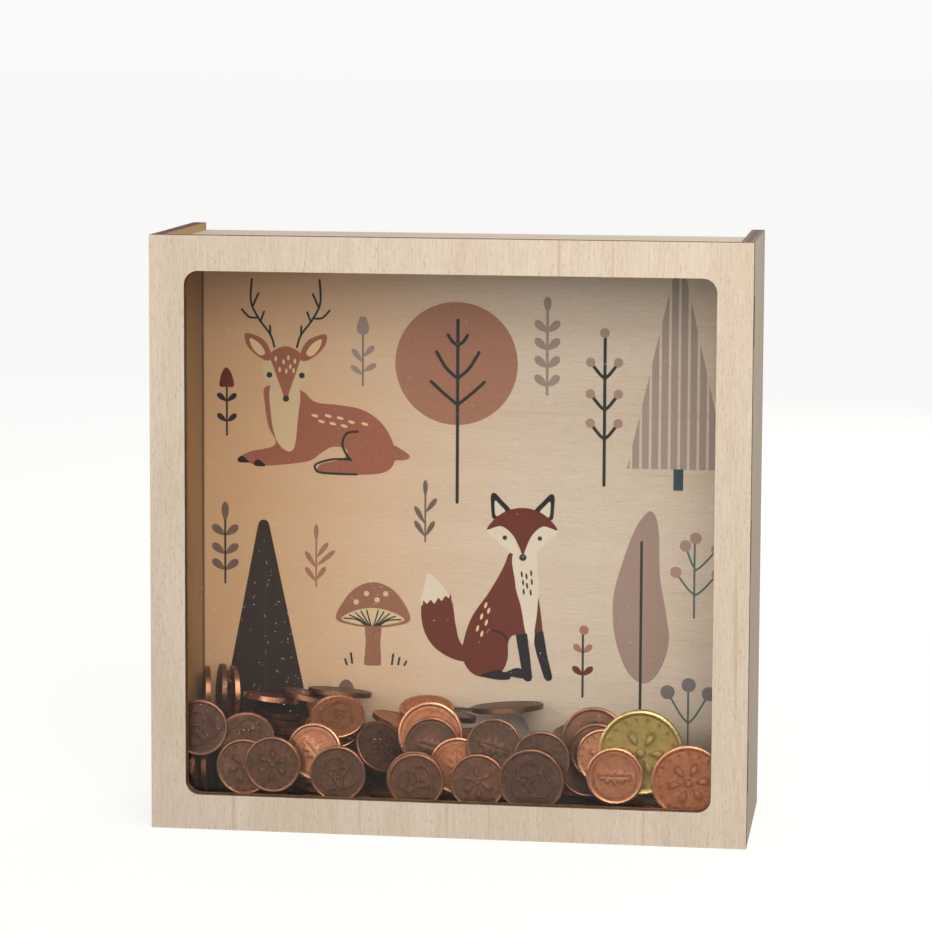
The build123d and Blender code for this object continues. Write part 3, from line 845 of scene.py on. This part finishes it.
def striped_fir():
    """A tall fir as upright bars, each cut off by the slope of the tree."""
    apex, base, left, right, middle = 164.4, 99.8, 45.9, 75.6, 60.8
    ceiling_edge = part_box("back_panel")[1][Z] / MM - 0.5
    pitch, gap = 2.8, 0.75
    shapes = []
    start = left - 0.45 * pitch
    while start < right:
        bar, end = max(start, left), min(start + pitch - gap, right)
        tops = []
        for x in (end, bar):
            slope = (x - left) / (middle - left) if x < middle else (right - x) / (right - middle)
            tops.append((x, min(base + slope * (apex - base), ceiling_edge)))
        if end > middle > bar:
            tops.insert(1, (middle, ceiling_edge))
        shapes.append(("fir_grey", [(bar, base), (end, base)] + tops, 1))
        start += pitch
    trunk = [(59.6, 93.6), (62.5, 93.6), (62.5, 99.9), (59.6, 99.9)]
    shapes.append(("deep_teal", trunk, 2))
    print_figure("striped_fir", shapes)


def dark_fir():
    """A fir as one dark wedge with a rounded tip, behind the coins at its foot."""
    crown = [(-62.5 + 1.6 * math.cos(a), 80.5 + 1.5 * math.sin(a)) for a in (2.6, 2.1, 1.57, 1.05, 0.55)]
    outline = [(-76.2, 18.5), (-64.2, 80.4)] + crown + [(-60.8, 80.4), (-47.6, 18.5)]
    print_figure("dark_fir", [("fir_black", outline[::-1], 1),
                              ("charcoal", stroke([(-62, 19), (-62, 66)], 0.9), 2)])


def oval_tree():
    """A tall leaf-shaped tree on a thin stem."""
    crown = rounded([(52.4, 87.2), (48.6, 82), (44.8, 71.6), (42.2, 60.6), (43, 49), (46.6, 39.4),
                     (51.6, 35.9), (56, 39.6), (58.8, 48.4), (57.8, 57.6), (56, 68), (55.6, 80),
                     (54.6, 85.6)])
    stem = stroke([(50.5, 20), (50.5, 78)], 0.8)
    print_figure("oval_tree", [("taupe", crown, 1), ("charcoal", stem, 2)])


def mushroom():
    """A spotted mushroom with ten gill lines and blades of grass at its foot."""
    cap = rounded([(-40.6, 52.6), (-38.5, 57.8), (-34.6, 62.2), (-29.2, 64), (-23.9, 62.2), (-20, 57.8),
                   (-18.3, 52.7), (-23.8, 50.8), (-29.6, 50.3), (-35.4, 50.8)])
    gills = rounded([(-39, 52.8), (-35, 55.2), (-29.8, 56.2), (-24.4, 55.4), (-20, 53), (-24.6, 51.4),
                     (-29.8, 51), (-35, 51.4)])
    stem = rounded([(-31.6, 50.8), (-27.2, 50.8), (-27.2, 46), (-27, 40), (-27.6, 38.9), (-31.6, 38.9),
                    (-32.1, 40), (-31.6, 46)], 4)
    shapes = [("mushroom_brown", stem, 1), ("mushroom_brown", cap, 2), ("cream", gills, 3)]
    middle = -29.6
    for k in range(-5, 6):
        if k:
            reach = 1.72 * k
            top = 56.2 - 0.036 * reach ** 2
            gill = [(middle + reach * 0.25, 51), (middle + reach * 0.55, 52.6), (middle + reach, top - 0.6)]
            shapes.append(("charcoal", stroke(gill, 0.42), 4))
    for x, z in ((-31.4, 60.5), (-25.6, 60.6), (-34.5, 57.9), (-28.2, 58.7)):
        shapes.append(("cream", oval(x, z, 0.8, 0.8), 3))
    for x, z, lean, tall in ((-37.7, 39.7, -0.4, 1.6), (-36, 40.9, -0.3, 2.9), (-23.4, 40.9, 0.3, 3),
                             (-21.5, 40.4, 0.3, 2), (-19.5, 39.8, 0.4, 1.2)):
        blade = [(x - lean, z - tall / 2), (x + lean * 0.3, z + tall / 2)]
        shapes.append(("charcoal", stroke(blade, 0.6), 2))
    print_figure("mushroom", shapes)


def flowers():
    """Two small flowers at the top left."""
    bell = rounded([(-75.8, 121.9), (-75.2, 125.4), (-73.8, 127.4), (-72.2, 125.6), (-71.5, 121.9),
                    (-73.6, 121.6)])
    stalk = sprig(-73.6, 122.4, 107.2, both(117.3, 2.9, 2.3) + both(111.2, 2.9, 2.3),
                  "fir_black", "charcoal", 1.6)
    print_figure("red_flower", stalk + [("fox_rust", bell, 3)])
    bud = rounded([(-34.4, 139.2), (-33.6, 142.8), (-32.6, 143.2), (-31.6, 142.8), (-30.8, 139.2),
                   (-32.6, 137.8)])
    leaves = [(131.4, 3.4, 3.2), (129.8, -3.2, 3.8), (127, 4, 2.2), (126, -3.6, 2.6)]
    stalk = sprig(-32.6, 138.4, 122.8, leaves, "leaf_grey", "stem_grey", 1.7, 0.55)
    print_figure("grey_flower", stalk + [("leaf_grey", bud, 3)])


def sprigs():
    """Four plants that are a stem and its leaves, and a stump."""
    leaves = sum((both(z, 3.6, 3.2) for z in (139.6, 134.4, 129.1, 123.6)), [])
    tall = sprig(22.2, 145.6, 121.2, leaves, "leaf_grey", "leaf_grey", 2.4, 0.85, 4.4)
    print_figure("tall_grey_sprig", tall)
    leaves = sum((both(z, 3.9, 3) for z in (77, 71.4, 66.6)), [])
    print_figure("brown_sprig", sprig(-74.2, 81.5, 62.6, leaves, "leaf_brown", "charcoal", 2.3, 0.6, 5.6))
    leaves = [(71.1, 3.6, 4.4), (68, -3.3, 4.8), (68.5, 5.7, 4.7), (63.8, -3.3, 4.2), (64.4, 2.8, 3.8)]
    print_figure("pink_sprig", sprig(-46.6, 76.2, 62.3, leaves, "leaf_pink", "leaf_pink", 1.5, 0.55, 4.8))
    leaves = [(85.4, 3.4, 4.2), (82, -3.2, 5.2), (78.2, -3.2, 4.6), (78.4, 2.7, 4.4)]
    print_figure("dark_sprig", sprig(-13.8, 90.4, 76.6, leaves, "leaf_dark", "leaf_dark", 1.5, 0.55, 4.6))
    stump = rounded([(-40.1, 28), (-39.6, 32.6), (-37.5, 34.4), (-35.4, 32.6), (-34.9, 28), (-37.5, 26)])
    print_figure("stump", [("leaf_brown", stump, 1)])


def berry_plants():
    """Four plants whose stems or twigs end in berries."""
    ends = [(x, z) for z in (130.9, 121.6, 113) for x in (35, 43.2)]
    stem = berries(39.2, 139.4, 94.7, ends, 1.4, "berry_taupe", "charcoal", width=0.95)
    print_figure("berry_stem", stem + [("berry_taupe", oval(39.1, 139.6, 1.45, 1.45), 3)])
    little = sprig(33.4, 50.6, 31.4, both(44.6, 2.7, 2.4), "terracotta", "charcoal", 1.9, 0.65)
    little += [("fox_rust", leaf((33.4, 37.8), (33.4 + side * 3, 40.4), 1.9), 3) for side in (-1, 1)]
    print_figure("little_berry", little + [("terracotta", oval(33.7, 51.4, 1.4, 1.4), 3)])
    ends = [(60.6, 69.4), (63.4, 77.3), (72.6, 76.4), (72.8, 69)]
    twigs = berries(66.1, 78.6, 56, ends, 1.7, "berry_taupe", "stem_teal", 6.4, 0.6)
    print_figure("branching_berry", twigs + [("berry_taupe", oval(66.4, 79.6, 1.75, 1.75), 3)])
    balls = berries(64.7, 35.6, 14, [(58.6, 33.6), (70.8, 33.4)], 2.1, "ball_grey", "stem_teal", 9.0, 0.55)
    print_figure("grey_balls", balls + [("ball_grey", oval(64.8, 35.9, 2.1, 2.1), 3)])


def print_woodland():
    """The woodland print: plain animals, trees and plants in earth colours."""
    colours = {
        "deer_brown": "#8f5340", "fox_rust": "#61271a", "terracotta": "#966855", "mushroom_brown": "#875742",
        "charcoal": "#262b2a", "black_ink": "#17171b", "fir_black": "#2b201a", "deep_teal": "#34474a",
        "stem_teal": "#4d6462", "leaf_grey": "#8c8079", "stem_grey": "#6d6762", "leaf_brown": "#66524a",
        "leaf_dark": "#5c504b", "leaf_pink": "#94664f", "fir_grey": "#968b85", "taupe": "#937e77",
        "berry_taupe": "#9a8076", "ball_grey": "#6c686b", "cream": "#c9b491", "white_ink": "#d0c8b8",
    }
    full = ("charcoal", "black_ink", "fir_black", "fox_rust", "deep_teal", "stem_teal")
    for name, colour in colours.items():
        INKS[name] = printing_ink(name, colour, cover=FULL_INK if name in full else THIN_INK)
    INKS["print_wood"] = printing_ink("bare_birch_in_print", "#dcbf93", cover=0.7)
    deer()
    fox()
    round_tree()
    striped_fir()
    dark_fir()
    oval_tree()
    mushroom()
    flowers()
    sprigs()
    berry_plants()


# ---- Dust on the window -------------------------------------------------------------------------
SPECKS = 420
SPECK_CORNERS = 6


def window_dust(material):
    """Specks on the inner face of the pane: every third is low on the left, every ninth a short fibre."""
    rng = random.Random(11)
    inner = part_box("window_pane")[1][Y] / MM
    n = SPECK_CORNERS
    points, faces = [], []
    for k in range(SPECKS):
        x, z = rng.uniform(-72, 72), rng.uniform(26, 158)
        if k % 3 == 0:
            x, z = rng.uniform(-76, -20), rng.uniform(26, 80)
        if k % 9 == 0:
            length, width = rng.uniform(0.8, 1.8), 0.07
        else:
            length, width = rng.uniform(0.12, 0.4), rng.uniform(0.1, 0.3)
        lean = rng.uniform(0, math.pi)
        along = (math.cos(lean), math.sin(lean))
        ring = []
        for s in range(n):
            a = 2 * math.pi * s / n
            u = length / 2 * math.cos(a) * rng.uniform(0.7, 1)
            w = width / 2 * math.sin(a) * rng.uniform(0.7, 1)
            ring.append((x + u * along[0] - w * along[1], z + u * along[1] + w * along[0]))
        start = len(points)
        for y in (inner + 0.01, inner + 0.05):
            points += [(px * MM, y * MM, pz * MM) for px, pz in ring]
        faces.append([start + s for s in range(n)])
        faces.append([start + n + s for s in range(n)][::-1])
        faces += [[start + s, start + n + s, start + n + (s + 1) % n, start + (s + 1) % n] for s in range(n)]
    specks = piece_from("window_dust", points, faces, [material])


# ---- Putting it together ------------------------------------------------------------------------
def finish_panels():
    """Plywood for every panel: its thickness runs along the first axis, its grain along the second."""
    dress("front_frame", birch_plywood("birch_front", "front_frame", Y, Z))
    for side in ("left", "right"):
        node = side + "_side_panel"
        dress(node, birch_plywood("birch_" + side, node, X, Z, "#e8dccd", "#d0c0ab", wall_inside_painted_shade))
    dress("top_panel", birch_plywood("birch_top", "top_panel", Z, X))
    dress("bottom_panel", birch_plywood("birch_bottom", "bottom_panel", Z, X, inside=floor_inside_painted_shade))
    dress("back_panel", birch_plywood("birch_back", "back_panel", Y, X, "#cdc3b5", "#baac98", panel_inside))
    dress("hatch_cover", birch_plywood("birch_cover", "hatch_cover", Y, Z))


def finish_hardware():
    """The hatch's screw, washer and spacer, and the window."""
    steel = zinc_plate()
    dress("hatch_screw", steel)
    dress("hatch_washer", steel)
    dress("hatch_spacer", nylon())
    dress("window_pane", cast_acrylic())


def fill_with_coins():
    """Struck coins in three alloys; the worn ones are toned more than the bright ones."""
    rng = random.Random(3)
    worn = struck_metal("toned_copper", "#a06f55", "#433228", "#664839", 0.55, 0.44)
    bright = struck_metal("bright_copper", "#d29a7a", "#8f5637", "#b9744c", 0.6, 0.4)
    gold = struck_metal("dull_coin_brass", "#cbb170", "#7f6d3a", "#9d8849", 0.7, 0.4)
    for node in ("small_coins_worn", "medium_coins_worn", "large_coins_worn"):
        strike_coins(node, worn, rng, (-0.2, 0.25))
    for node in ("small_coins_bright", "medium_coins_bright", "large_coins_bright"):
        strike_coins(node, bright, rng, (-0.1, 0.45))
    strike_coins("gold_coins", gold, rng, (0.0, 0.2))


place_camera()
light_the_scene()
lay_floor()
finish_panels()
finish_hardware()
print_woodland()
fill_with_coins()
window_dust(dust())
